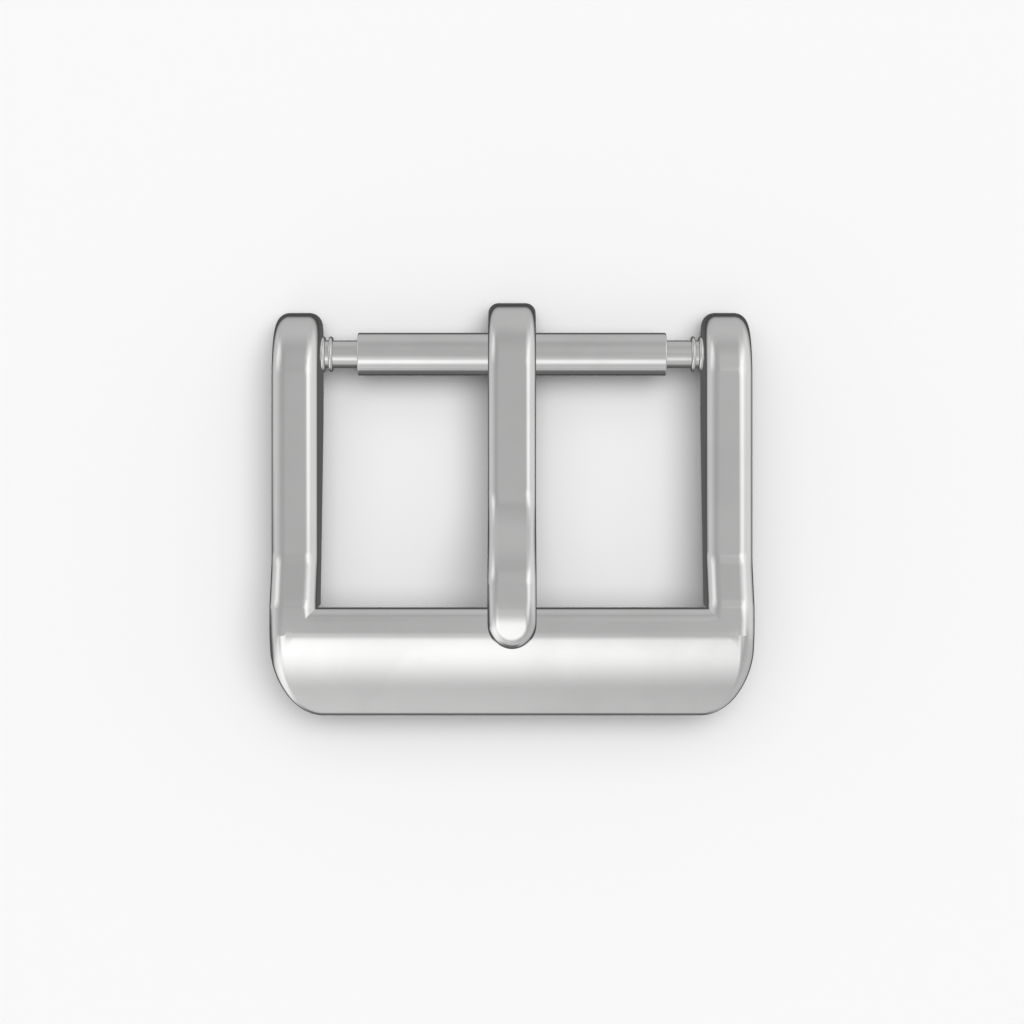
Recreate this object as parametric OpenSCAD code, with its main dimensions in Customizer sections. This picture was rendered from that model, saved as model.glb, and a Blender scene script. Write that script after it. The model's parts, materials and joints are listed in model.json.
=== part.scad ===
// Tang buckle for a narrow watch strap, with its spring bar
// Millimetres, +Z up. The buckle lies on its feet, the spring bar at +Y and the front bar at -Y.
// In the functions below, s is the distance in front of the spring bar's axis, towards -Y.

/* [Frame] */
// Clear width between the arms, which is the width of strap that the buckle takes
strap_gap = 16.1; // [12:0.1:22]
// Width of each arm
arm_w = 1.95; // [1.5:0.05:2.6]
// From the spring bar's axis to the front bar's inner edge
window_d = 10.6; // [9.5:0.1:13]
// Depth of the front bar, from its inner edge to its front
front_d = 4.55; // [4:0.02:6]
// Height of the arms' flat top
arm_top = 3.45; // [3.2:0.05:4]
// How far the front bar's crest stands above the arms
crest_rise = 0.85; // [0.5:0.05:1.2]
// Slope of the arms where they climb to the front bar
climb_tilt = 24.5; // [20:0.5:35]
// From the top of that climb to the window's edge
climb_lead = 0.15; // [0.1:0.05:0.8]
// Flat of the crest, in front of the window's edge
crest_flat = 0.86; // [0.6:0.02:1.4]
// Radius of the shoulder where the crest turns down to the dome
shoulder_r = 1.4; // [1:0.1:4]
// Tilt at which the shoulder meets the dome
shoulder_tilt = 18; // [8:1:20]
// Radius of the front bar's domed face
dome_r = 10; // [7:0.1:14]
// Width of the front corners' rounding, across the strap
corner_w = 2.13; // [1.2:0.01:3]
// Depth of the front corners' rounding, along the strap
corner_d = 2.68; // [1.5:0.01:3.2]
// Rounding of the frame's outer top edges
edge_r = 0.62; // [0.3:0.02:0.7]
// Rounding of the window's top edges
window_edge_r = 0.55; // [0.3:0.05:0.65]
// Rounding of the front bar's front edge
front_edge_r = 0.15; // [0.1:0.01:0.3]
// Rounding of the frame's lower edges
foot_edge_r = 0.25; // [0.1:0.01:0.35]
// Rounding of the front lip's lower edge
lip_edge_r = 0.45; // [0.2:0.01:0.6]

/* [Ears] */
// Height of the spring bar's axis
axis_z = 1.65; // [1.5:0.05:2]
// How far the ears' crown reaches behind the axis
ear_tail = 1.78; // [1.5:0.02:2.2]
// Radius of the ears' crown, seen from the side
ear_crown_r = 2.8; // [2.2:0.1:3]
// Length of the ears' flat feet, in front of the axis
foot_d = 2.6; // [1:0.1:3]
// Diameter of the blind holes that the spring bar's tips enter
tip_hole_d = 0.9; // [0.85:0.05:1.2]
// Depth of those holes
tip_hole_l = 1.05; // [0.95:0.05:1.3]

/* [Underside] */
// Height of the arms' underside just behind the front bar
arch_z = 1.5; // [0.6:0.05:2]
// How far behind the front bar's inner edge that height is reached
arch_lead = 0.08; // [0.06:0.01:1]
// Height of the hollow under the front bar
hollow_z = 2.8; // [2.2:0.05:3]
// Level run of the arms' rise into that hollow
hollow_rise_d = 0.07; // [0.05:0.01:0.8]
// Thickness of the front lip at its foot
lip_w = 0.95; // [0.8:0.05:1.3]
// Level run of the slope inside the lip
lip_slope_d = 1.5; // [1.2:0.1:2]

/* [Tongue] */
// Width of the tongue
tongue_w = 2.0; // [1.6:0.05:2.6]
// How far the tongue reaches over the front bar, past its inner edge
tip_over = 1.65; // [1.2:0.05:2.4]
// How far the tongue's crown reaches behind the axis
tongue_tail = 2.2; // [1.9:0.02:2.6]
// Radius of the tongue's crown, seen from the side
tongue_crown_r = 2.85; // [2.3:0.05:3.1]
// Height of the shank's top over the surface
tongue_top = 3.45; // [3.2:0.05:4]
// Thickness of the shank
shank_t = 1.5; // [1.2:0.05:1.7]
// Thickness of the tongue over the front bar
nose_t = 1.15; // [0.9:0.05:1.5]
// Slope of the tongue's step up to the front bar, at its two ends
step_tilt = 30; // [24:1:40]
// Slope of the step halfway up
steep_tilt = 38; // [30:1:46]
// Level run of that steeper middle
steep_d = 1.4; // [1:0.1:2]
// Radius of the bends between the step's slopes
steep_r = 6.8; // [4:0.1:7]
// From the step's upper bend to the window's edge
step_lead = 1.4; // [1.2:0.05:2.6]
// Radius of the bends at both ends of that step
step_r = 1.6; // [1.2:0.05:2.2]
// Fall of the tip
tip_tilt = 20.5; // [10:0.5:24]
// Length of the falling tip
tip_fall_d = 1.5; // [0.9:0.05:1.6]
// Rounding of the tongue's upper edges
tongue_edge_r = 0.45; // [0.2:0.01:0.48]
// Rounding of the tongue's lower edges
tongue_foot_r = 0.15; // [0.08:0.01:0.2]
// Height of the tongue's heel over the surface
heel_lift = 0.15; // [0.1:0.05:0.3]
// How far the heel runs in front of the axis
heel_d = 0.6; // [0.4:0.05:0.9]
// Where the heel has risen to the shank's underside, in front of the axis
throat_d = 2.5; // [2.2:0.05:3]

/* [Spring bar] */
// Outer diameter of the tube
tube_d = 1.8; // [1.5:0.05:2]
// Length of the tube
tube_l = 12.95; // [9:0.05:19]
// Wall of the tube
tube_wall = 0.15; // [0.12:0.01:0.2]
// Length of the rolled end that holds the plunger in
roll_l = 0.3; // [0.25:0.01:0.4]
// Diameter of the plungers' shaft
shaft_d = 1.16; // [1:0.02:1.2]
// Length of the plunger's head inside the tube
head_l = 0.8; // [0.6:0.05:1.2]
// Diameter of the plungers' two flanges
flange_d = 1.5; // [1.4:0.02:1.7]
// Thickness of each flange
flange_t = 0.17; // [0.12:0.01:0.25]
// Groove between the two flanges
groove_w = 0.15; // [0.04:0.01:0.2]
// Diameter of the tips
tip_d = 0.8; // [0.6:0.02:0.8]
// Length of the tips
tip_l = 0.85; // [0.7:0.05:0.9]
// Diameter of the spring's wire
wire_d = 0.2; // [0.15:0.01:0.25]
// Outer diameter of the spring's coil
coil_d = 1.24; // [1:0.02:1.3]
// Turns of the spring
coil_turns = 16; // [8:1:17]

/* [Fits] */
// Play round the spring bar in the tongue's eye
eye_play = 0.05; // [0.02:0.01:0.1]
// Play round the plungers inside the tube and its rolled ends
plunger_play = 0.03; // [0.02:0.01:0.05]
// Play between the plungers' flanges and the ears
ear_play = 0.03; // [0.02:0.01:0.2]
// Gap under the tongue where it lies on the front bar
rest_play = 0.05; // [0.02:0.01:0.1]

/* [Hidden] */

half_gap = strap_gap / 2;
half_w = half_gap + arm_w;
front_s = window_d + front_d;
crest_z = arm_top + crest_rise;
// The axis lies so that the whole buckle is centred on the origin
axis_y = (front_s - tongue_tail) / 2;

// Where a crown's arc hands over to the heel's arc below it
crown_end = 80;

// How finely the forms are divided
fillet_steps = 5;
bend_steps = 6;
round_steps = 4;
mids = 10;
crown_steps = 10;
arm_steps = 15;
rise_steps = 5;
side_steps = 3;
corner_steps = 9;
turned_sides = 72;
bore_sides = 64;
hole_sides = 48;
// Half the length over which a profile's slope is measured
slope_d = 0.02;
ring_n = 4 * (fillet_steps + 1) + 2 * mids;

// The arc that rounds corner b between a and c
function round_corner(a, b, c, r) =
    let (u = (a - b) / norm(a - b), v = (c - b) / norm(c - b),
         half = acos(u * v) / 2,
         middle = b + (u + v) / norm(u + v) * r / sin(half),
         d = -(u + v) / norm(u + v), e = (v - u) / norm(v - u))
    [for (k = [0 : bend_steps])
        let (f = (90 - half) * (2 * k / bend_steps - 1)) middle + r * (cos(f) * d + sin(f) * e)];

// A side profile: corners given as [s, z, radius], its two ends left square
function profile(corners) =
    let (last = len(corners) - 1, p = [for (c = corners) [c[0], c[1]]])
    [p[0],
     for (i = [1 : last - 1]) each round_corner(p[i - 1], p[i], p[i + 1], corners[i][2]),
     p[last]];

// Height and backward lean on an upper profile whose rear is a crown
function over(s, crown, path) =
    s < crown[0]
        ? let (a = asin(min(1, (crown[0] - s) / crown[2]))) [crown[1] + crown[2] * cos(a), a]
        : [lookup(s, path), atan((lookup(s + slope_d, path) - lookup(s - slope_d, path)) / slope_d / 2)];

// Height and backward lean on a lower profile whose rear is a heel
function beneath(s, heel, path) =
    s < heel[0]
        ? let (a = asin(min(1, (heel[0] - s) / heel[2]))) [heel[1] - heel[2] * cos(a), a]
        : [lookup(s, path), 0];

// A crown is [s, z, radius] of its arc; the heel is the arc that touches it and the level z = foot
function crown_arc(tail, r, top) = [r * sin(crown_end) - tail, top - r, r];
function heel_arc(crown, foot) =
    let (join_s = crown[0] - crown[2] * sin(crown_end),
         join_z = crown[1] + crown[2] * cos(crown_end),
         r = (join_z - foot) / (1 + cos(crown_end)))
    [join_s + r * sin(crown_end), foot + r, r];

// A point on the rounded edge between a side wall and a face. p is the plan point [x, s] on the wall,
// h points out of the wall, a runs from 0 on the wall to 90 on the face, and side is 1 above, -1 below
function edge_point(p, h, r, a, face, side) =
    let (q = p - r * (1 - cos(a)) * h, drop = r * (1 - sin(a)), f = face(q[1], h))
    [q[0], q[1] + drop * sin(f[1]), f[0] - side * drop * cos(f[1])];
function edge_arc(p, h, r, face, side) =
    [for (k = [0 : fillet_steps]) edge_point(p, h, r, 90 * k / fillet_steps, face, side)];
function backwards(list) = [for (k = [len(list) - 1 : -1 : 0]) list[k]];

// The rounding of an edge leans with the slope on walls along the strap, and stands upright on walls
// across it. fade is 1, or less where it has to stand upright for another reason
function leaning(f, h, fade = 1) = [f[0], f[1] * pow(h[0], 2) / (h * h) * fade];

// Points between two points of a face, each set on the face
function across(a, b, face) =
    [for (k = [1 : mids]) let (q = a + (b - a) * k / (mids + 1)) [q[0], q[1], face(q[1], [1, 0])[0]]];

// One ring of points: up the first wall, over the top, down the second wall and back underneath.
// A station is [first plan point above, below, wall normal, radius above, below], then the same again
function ring(one, two, top, under) =
    let (up_one = edge_arc(one[0], one[2], one[3], top, 1),
         low_one = edge_arc(one[1], one[2], one[4], under, -1),
         up_two = edge_arc(two[0], two[2], two[3], top, 1),
         low_two = edge_arc(two[1], two[2], two[4], under, -1),
         e = fillet_steps)
    [each backwards(low_one), each up_one, each across(up_one[e], up_two[e], top),
     each backwards(up_two), each low_two, each across(low_two[e], low_one[e], under)];

// Triangles between neighbouring rings; where rings share points, triangles of no area are left out
function tri(a, b, c) = a == b || b == c || a == c ? [] : [[a, b, c]];
function skin(rings, id) =
    [for (i = [0 : len(rings) - 2], j = [0 : ring_n - 1])
        let (k = (j + 1) % ring_n, a = id(i, j), b = id(i + 1, j), c = id(i + 1, k), d = id(i, k))
        each concat(tri(a, b, c), tri(a, c, d))];

// Closes a ring whose upper and lower rows lie close together, as at a crown
function crown_cap(i) =
    let (base = i * ring_n)
    [for (k = [0 : ring_n / 2 - 2])
        let (a = base + fillet_steps + 1 + k, b = a + 1,
             c = base + (fillet_steps - k - 1 + ring_n) % ring_n,
             d = base + (fillet_steps - k + ring_n) % ring_n)
        each [[a, b, c], [a, c, d]]];
function flipped(faces) = [for (f = faces) [f[0], f[2], f[1]]];

// Closes the last ring of a nose, whose two walls lie close together
function nose_cap(i) =
    let (base = i * ring_n, e = 2 * fillet_steps + 1, r = 2 * e + 1 + mids)
    [for (f = concat(
            [for (j = [1 : e - 2]) each [[j, j + 1, r - j - 1], [j, r - j - 1, r - j]]],
            [for (j = [e : r - e]) [e - 1, j, j + 1]],
            [for (j = [r - 1 : ring_n - 1]) [1, j, (j + 1) % ring_n]]))
        [base + f[0], base + f[2], base + f[1]]];

// The frame: one bent piece, from the rear of one ear round to the rear of the other
frame_crown = crown_arc(ear_tail, ear_crown_r, arm_top);
frame_heel = heel_arc(frame_crown, 0);
climb_s = window_d - climb_lead;
climb_r = 1.3;
dome_s = window_d + crest_flat;
face_s = dome_s + shoulder_r * sin(shoulder_tilt);
face_z = crest_z - shoulder_r * (1 - cos(shoulder_tilt));
frame_top_path = profile([
    [frame_crown[0], arm_top],
    [climb_s - crest_rise / tan(climb_tilt), arm_top, climb_r],
    [climb_s, crest_z, climb_r],
    [front_s, crest_z]]);
lip_s = front_s - lip_w;
arch_s = window_d - arch_lead;
foot_bend_r = 8;
arch_r = 0.03;
hollow_r = 0.9;
lip_r = 0.12;
frame_under_path = profile([
    [frame_heel[0], 0],
    [foot_d, 0, foot_bend_r],
    [arch_s, arch_z, arch_r],
    [arch_s + hollow_rise_d, hollow_z, arch_r],
    [lip_s - lip_slope_d, hollow_z, hollow_r],
    [lip_s, 0, lip_r],
    [front_s, 0]]);

// The front bar's upper face in front of its crest: shoulder and dome
function dome(s) =
    s < face_s
        ? let (a = asin((s - dome_s) / shoulder_r)) [crest_z - shoulder_r * (1 - cos(a)), -a]
        : let (a = asin(sin(shoulder_tilt) + (s - face_s) / dome_r))
          [face_z - dome_r * (cos(shoulder_tilt) - cos(a)), -a];

// The roundings inside the window stand upright again where they meet in its corners
lean_fade_d = 0.5;
function window_fade(s, h) = h[0] < 0 ? max(0, min(1, (window_d - s) / lean_fade_d)) : 1;
frame_top = function (s, h)
    leaning(s > dome_s ? dome(s) : over(s, frame_crown, frame_top_path), h, window_fade(s, h));
frame_under = function (s, h) beneath(s, frame_heel, frame_under_path);

function mix(a, b, t) = a + (b - a) * t;

// Stations along a piece with straight sides. A wall is [x, direction out, upper rounding, lower rounding]
function side_point(wall, s_top, s_low, low_r) =
    [[wall[0], s_top], [wall[0], s_low], [wall[1], 0], wall[2], low_r];
function crown_stations(one, two, crown, heel) =
    [for (k = [0 : crown_steps])
        let (v = k / crown_steps,
             s_top = crown[0] - crown[2] * sin(crown_end * (1 - v)),
             s_low = heel[0] - heel[2] * sin(90 * (1 - v)))
        [for (wall = [one, two]) side_point(wall, s_top, s_low, mix(wall[2], wall[3], v))]];
function side_stations(one, two, from_top, from_low, end_s, steps) =
    [for (k = [1 : steps])
        let (s_top = mix(from_top, end_s, k / steps), s_low = mix(from_low, end_s, k / steps))
        [for (wall = [one, two]) side_point(wall, s_top, s_low, wall[3])]];

// The front corner: its stations fan out from the window's sharp corner to the rounded outline
window_corner = [half_gap, window_d];
function window_point(h) = [window_corner, window_corner, h, window_edge_r, foot_edge_r];
function corner_station(p, h, r, low_r) = [[p, p, h, r, low_r], window_point([-1, -1])];
function corner_stations() =
    let (side_s = front_s - corner_d)
    [for (k = [1 : side_steps])
        corner_station([half_w, mix(window_d, side_s, k / side_steps)], [1, 0], edge_r, foot_edge_r),
     for (k = [1 : corner_steps])
        let (g = 90 * k / (corner_steps + 1),
             h = [cos(g) / corner_w, sin(g) / corner_d],
             t = pow(sin(g), 2))
        corner_station([half_w - corner_w * (1 - cos(g)), side_s + corner_d * sin(g)], h / norm(h),
                       mix(edge_r, front_edge_r, t), mix(foot_edge_r, lip_edge_r, t))];
outer_wall = [half_w, 1, edge_r, foot_edge_r];
inner_wall = [half_gap, -1, window_edge_r, foot_edge_r];
front_corner = [half_w - corner_w, front_s];
rise_s = arch_s - arch_lead;
frame_stations = concat(
    crown_stations(outer_wall, inner_wall, frame_crown, frame_heel),
    side_stations(outer_wall, inner_wall, frame_crown[0], frame_heel[0], rise_s, arm_steps),
    side_stations(outer_wall, inner_wall, rise_s, rise_s, window_d, rise_steps),
    corner_stations(),
    [[[front_corner, front_corner, [0, 1], front_edge_r, lip_edge_r], window_point([0, -1])]]);

// Every station from the arm's end on shares the window corner's points, so the corner stays sharp
half_n = len(frame_stations);
arm_end = crown_steps + arm_steps + rise_steps;
first_inner = 2 * (fillet_steps + 1) + mids;
last_inner = first_inner + 2 * fillet_steps + 1;
wall_top = first_inner + fillet_steps;
function own_station(k, j) =
    (j == wall_top || j == wall_top + 1) && k > arm_end ? arm_end
    : j >= first_inner && j <= last_inner && k > arm_end && k < half_n - 1 ? arm_end + 1
    : k;
ring_last = 2 * half_n - 1;
frame_id = function (i, j)
    ring_n * (i < half_n ? own_station(i, j) : ring_last - own_station(ring_last - i, j)) + j;

// From [x, s, z] to the buckle's own place
function placed(p) = [p[0], axis_y - p[1], p[2]];
function mirrored(p) = [-p[0], p[1], p[2]];
module on_axis() {
    translate([0, axis_y, axis_z]) rotate([0, 90, 0]) children();
}

module buckle_frame() {
    half = [for (st = frame_stations) [for (p = ring(st[0], st[1], frame_top, frame_under)) placed(p)]];
    rings = concat(half, [for (i = [half_n - 1 : -1 : 0]) [for (p = half[i]) mirrored(p)]]);
    color("silver") difference() {
        polyhedron([for (r = rings) each r],
                   concat(skin(rings, frame_id), crown_cap(0), flipped(crown_cap(ring_last))));
        for (side = [-1, 1])
            translate([side * half_gap, axis_y, axis_z])
                rotate([0, side * 90, 0])
                    translate([0, 0, -ear_play])
                        cylinder(h = ear_play + tip_hole_l, d = tip_hole_d, $fn = hole_sides);
    }
}

// The tongue: a bent bar with an eye at its heel and a round nose
tip_s = window_d + tip_over;
nose_s = tip_s - tongue_w / 2;
rest_z = crest_z + rest_play;
nose_top = rest_z + nose_t;
shank_z = tongue_top - shank_t;
step_s = window_d - step_lead;
gentle_d = ((nose_top - tongue_top) - steep_d * tan(steep_tilt)) / tan(step_tilt) / 2;
shank_s = step_s - steep_d - 2 * gentle_d;
gentle_rise = gentle_d * tan(step_tilt);
heel_bend_r = 1.2;
throat_r = 1.4;
tip_bend_r = 3;
tongue_steps = 30;
nose_steps = 8;
nose_end = 86;
tongue_crown = crown_arc(tongue_tail, tongue_crown_r, tongue_top);
tongue_heel = heel_arc(tongue_crown, heel_lift);
tongue_top_path = profile([
    [tongue_crown[0], tongue_top],
    [shank_s, tongue_top, step_r],
    [shank_s + gentle_d, tongue_top + gentle_rise, steep_r],
    [step_s - gentle_d, nose_top - gentle_rise, steep_r],
    [step_s, nose_top, step_r],
    [tip_s - tip_fall_d, nose_top, tip_bend_r],
    [tip_s, nose_top - tip_fall_d * tan(tip_tilt)]]);
tongue_under_path = profile([
    [tongue_heel[0], heel_lift],
    [heel_d, heel_lift, heel_bend_r],
    [throat_d, shank_z, throat_r],
    [shank_s + shank_t * tan(step_tilt / 2), shank_z, step_r - nose_t / 2],
    [step_s + nose_t * tan(step_tilt / 2), rest_z, step_r - nose_t / 2],
    [tip_s, rest_z]]);
tongue_over = function (s, h) leaning(over(s, tongue_crown, tongue_top_path), h);
tongue_beneath = function (s, h) beneath(s, tongue_heel, tongue_under_path);
tongue_right = [tongue_w / 2, 1, tongue_edge_r, tongue_foot_r];
tongue_left = [-tongue_w / 2, -1, tongue_edge_r, tongue_foot_r];
tongue_stations = concat(
    crown_stations(tongue_right, tongue_left, tongue_crown, tongue_heel),
    side_stations(tongue_right, tongue_left, tongue_crown[0], tongue_heel[0], nose_s, tongue_steps),
    [for (k = [1 : nose_steps])
        let (g = nose_end * k / nose_steps,
             x = tongue_w / 2 * cos(g),
             s = nose_s + tongue_w / 2 * sin(g))
        [[[x, s], [x, s], [cos(g), sin(g)], tongue_edge_r, tongue_foot_r],
         [[-x, s], [-x, s], [-cos(g), sin(g)], tongue_edge_r, tongue_foot_r]]]);
tongue_id = function (i, j) i * ring_n + j;

module tongue() {
    rings = [for (st = tongue_stations)
        [for (p = ring(st[0], st[1], tongue_over, tongue_beneath)) placed(p)]];
    last = len(rings) - 1;
    color("gainsboro") difference() {
        polyhedron([for (r = rings) each r],
                   concat(skin(rings, tongue_id), crown_cap(0), nose_cap(last)));
        on_axis() cylinder(h = 2 * tongue_w, d = tube_d + 2 * eye_play, center = true, $fn = bore_sides);
    }
}

// The spring bar, turned parts on the axis between the ears
end_x = tube_l / 2;
bore_r = tube_d / 2 - tube_wall;
head_out_x = end_x - roll_l - plunger_play;
head_in_x = head_out_x - head_l;
shoulder_x = half_gap - ear_play;
flange_x = shoulder_x - 2 * flange_t - groove_w;
tip_round = 0.15;
roll_round = 0.05;
bead_steps = 6;

// A quarter turn of points about [r, x], from angle a to angle b
function arc_points(c, r, a, b, steps) =
    [for (k = [0 : steps]) let (f = mix(a, b, k / steps)) c + r * [cos(f), sin(f)]];

// A tube whose ends are rolled in round the plungers' shafts
module spring_bar_tube() {
    roll_hole_r = shaft_d / 2 + plunger_play;
    outline = concat(
        [[bore_r, 0], [bore_r, end_x - roll_l], [roll_hole_r, end_x - roll_l], [roll_hole_r, end_x]],
        arc_points([tube_d / 2 - roll_round, end_x - roll_round], roll_round, 90, 0, round_steps));
    mirror_outline = [for (i = [len(outline) - 1 : -1 : 1]) [outline[i][0], -outline[i][1]]];
    color("lightgray") on_axis()
        rotate_extrude($fn = turned_sides) polygon(concat(outline, mirror_outline));
}

// A plunger: head, shaft, two flanges that a tool grips between, and the tip that enters the ear
module plunger() {
    head_r = bore_r - plunger_play;
    shaft_r = shaft_d / 2;
    bead = flange_t / 2;
    outline = concat(
        [[0, head_in_x], [head_r, head_in_x], [head_r, head_out_x]],
        [[shaft_r, head_out_x], [shaft_r, flange_x]],
        arc_points([flange_d / 2 - bead, flange_x + bead], bead, -90, 90, bead_steps),
        [[shaft_r, flange_x + flange_t], [shaft_r, shoulder_x - flange_t]],
        arc_points([flange_d / 2 - bead, shoulder_x - bead], bead, -90, 90, bead_steps),
        [[tip_d / 2, shoulder_x]],
        arc_points([tip_d / 2 - tip_round, shoulder_x + tip_l - tip_round], tip_round, 0, 90, round_steps),
        [[0, shoulder_x + tip_l]]);
    on_axis() rotate_extrude($fn = turned_sides) polygon(outline);
}
module right_plunger() {
    color("silver") plunger();
}
module left_plunger() {
    color("silver") mirror([1, 0, 0]) plunger();
}

// The coil spring between the plungers' heads
coil_rings = 8;
wire_sides = 6;
seat_play = 0.02;
coil_l = 2 * (head_in_x - seat_play) - wire_d;
coil_r = (coil_d - wire_d) / 2;
coil_last = coil_turns * coil_rings;
coil_pitch = coil_l / coil_turns;
function coil_centre(k) =
    let (a = 360 * k / coil_rings) [coil_l * (k / coil_last - 0.5), coil_r * cos(a), coil_r * sin(a)];
function coil_ring(k) =
    let (a = 360 * k / coil_rings, out = [0, cos(a), sin(a)],
         along = [coil_pitch, -2 * PI * coil_r * sin(a), 2 * PI * coil_r * cos(a)],
         side = cross(along / norm(along), out))
    [for (m = [0 : wire_sides - 1])
        let (f = 360 * m / wire_sides) coil_centre(k) + wire_d / 2 * (cos(f) * out + sin(f) * side)];
half_turn = coil_rings / 2;
coil_gap = min([for (k = [0 : coil_last - half_turn], m = [k + half_turn : coil_last])
    norm(coil_centre(k) - coil_centre(m))]) - wire_d;
echo(coil_turns = coil_turns, coil_pitch = coil_pitch, least_gap = coil_gap);

module bar_spring() {
    points = [for (k = [0 : coil_last]) each coil_ring(k)];
    sides = [for (k = [0 : coil_last - 1], m = [0 : wire_sides - 1])
        let (n = (m + 1) % wire_sides, a = k * wire_sides)
        each [[a + m, a + wire_sides + n, a + n], [a + m, a + wire_sides + m, a + wire_sides + n]]];
    last = coil_last * wire_sides;
    ends = [for (m = [1 : wire_sides - 2]) each [[0, m, m + 1], [last, last + m + 1, last + m]]];
    color("dimgray") translate([0, axis_y, axis_z]) polyhedron(points, concat(sides, ends));
}

buckle_frame();
tongue();
spring_bar_tube();
left_plunger();
right_plunger();
bar_spring();
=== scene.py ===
# %% [markdown]
# # A watch buckle in polished steel
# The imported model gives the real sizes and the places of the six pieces. This lesson dresses each of
# them: the pieces are modelled again with smooth surfaces, because mirror polish shows every facet,
# and they get their finish, a floor, soft light and a camera straight above.

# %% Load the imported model
import json
import math

import bmesh
import bpy
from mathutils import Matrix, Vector

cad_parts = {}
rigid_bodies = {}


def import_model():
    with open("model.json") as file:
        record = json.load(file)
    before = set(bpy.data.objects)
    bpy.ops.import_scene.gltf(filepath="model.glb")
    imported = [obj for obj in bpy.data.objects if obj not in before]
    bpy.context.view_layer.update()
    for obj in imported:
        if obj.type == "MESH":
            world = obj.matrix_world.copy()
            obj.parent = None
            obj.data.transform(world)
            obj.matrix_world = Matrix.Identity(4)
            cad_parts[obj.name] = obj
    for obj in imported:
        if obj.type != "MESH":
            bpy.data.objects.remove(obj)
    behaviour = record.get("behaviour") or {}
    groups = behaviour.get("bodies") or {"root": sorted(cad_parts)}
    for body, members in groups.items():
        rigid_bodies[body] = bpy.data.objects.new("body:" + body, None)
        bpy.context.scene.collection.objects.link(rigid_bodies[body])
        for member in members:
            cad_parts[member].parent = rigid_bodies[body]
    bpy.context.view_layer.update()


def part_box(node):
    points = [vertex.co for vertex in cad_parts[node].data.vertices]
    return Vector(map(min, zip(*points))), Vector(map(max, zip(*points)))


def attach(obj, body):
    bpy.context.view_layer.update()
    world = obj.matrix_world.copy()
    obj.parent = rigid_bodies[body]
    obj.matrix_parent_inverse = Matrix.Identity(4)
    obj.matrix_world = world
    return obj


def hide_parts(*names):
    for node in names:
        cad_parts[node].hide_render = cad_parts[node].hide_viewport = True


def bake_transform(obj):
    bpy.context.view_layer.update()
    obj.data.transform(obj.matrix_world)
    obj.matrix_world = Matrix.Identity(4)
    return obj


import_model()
MM = 0.001

# %% [markdown]
# ## Sizes
# Every place comes from the model's own boxes, in millimetres here because the object is so small.
# As in the model, s is the distance in front of the spring bar's axis, towards the front bar.

# %% Sizes taken from the model
frame_low, frame_high = (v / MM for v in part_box("buckle_frame"))
tongue_low, tongue_high = (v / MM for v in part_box("tongue"))
tube_low, tube_high = (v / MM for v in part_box("spring_bar_tube"))
tip_low, tip_high = (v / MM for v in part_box("right_plunger"))
coil_low, coil_high = (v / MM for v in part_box("bar_spring"))
axis_y = (tube_low.y + tube_high.y) / 2
axis_z = (tube_low.z + tube_high.z) / 2
half_w = frame_high.x
front_s = axis_y - frame_low.y
crest_z = frame_high.z
print(f"axis at y {axis_y:.3f} z {axis_z:.3f} mm, half width {half_w:.2f}, "
      f"front {front_s:.2f}, crest {crest_z:.2f}")

# %% [markdown]
# ## Tools for the bench
# An operator acts on all that is selected, so each piece starts with nothing selected. A loft is made
# the way it is done by hand: one ring of edges is extruded again and again, and each new ring is moved
# to the next cross-section. A vertex layer keeps every corner's number, which an extrusion copies.

# %% Helpers for modelling
# Points closer than this are one, in millimetres
SAME_POINT, SAME_POINT_IN_MIRROR = 0.0005, 0.001
BORE_SIDES = 96


def deselect_all():
    for thing in bpy.context.view_layer.objects:
        thing.select_set(False)


def only(piece):
    deselect_all()
    piece.select_set(True)
    bpy.context.view_layer.objects.active = piece


def move_selected(piece, points):
    mesh = bmesh.from_edit_mesh(piece.data)
    number = mesh.verts.layers.int["number"]
    for v in mesh.verts:
        if v.select:
            v.co = points[v[number]] * MM
    bmesh.update_edit_mesh(piece.data)


def loft(name, rings):
    """A piece from its cross-sections, each a ring of points in millimetres"""
    deselect_all()
    bpy.ops.mesh.primitive_circle_add(vertices=len(rings[0]), radius=MM)
    piece = bpy.context.object
    piece.name = name
    layer = piece.data.attributes.new("number", "INT", "POINT")
    layer.data.foreach_set("value", range(len(rings[0])))
    bpy.ops.object.mode_set(mode="EDIT")
    bpy.ops.mesh.select_all(action="SELECT")
    move_selected(piece, rings[0])
    for ring in rings[1:]:
        bpy.ops.mesh.extrude_region_move()
        move_selected(piece, ring)
    bpy.ops.mesh.select_all(action="SELECT")
    bpy.ops.mesh.remove_doubles(threshold=SAME_POINT * MM)
    bpy.ops.mesh.normals_make_consistent(inside=False)
    bpy.ops.object.mode_set(mode="OBJECT")
    piece.data.attributes.remove(piece.data.attributes["number"])
    return piece


def apply_modifier(piece, kind, **settings):
    only(piece)
    modifier = piece.modifiers.new(kind.title(), kind)
    for key, value in settings.items():
        setattr(modifier, key, value)
    bpy.ops.object.modifier_apply(modifier=modifier.name)


def bore(piece, centre, radius, length):
    """Cuts a round hole along X"""
    only(piece)
    bpy.ops.mesh.primitive_cylinder_add(vertices=BORE_SIDES, radius=radius * MM, depth=length * MM,
                                        location=centre * MM, rotation=(0, math.pi / 2, 0))
    cutter = bpy.context.object
    apply_modifier(piece, "BOOLEAN", operation="DIFFERENCE", object=cutter, solver="EXACT")
    bpy.data.objects.remove(cutter)


def polish(piece, angle):
    """Smooth shading that stays crisp at edges sharper than the angle, and flat on large faces"""
    only(piece)
    bpy.ops.object.shade_smooth_by_angle(angle=math.radians(angle))
    apply_modifier(piece, "WEIGHTED_NORMAL", mode="FACE_AREA", keep_sharp=True)
    print(piece.name, len(piece.data.polygons), "faces")

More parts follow.
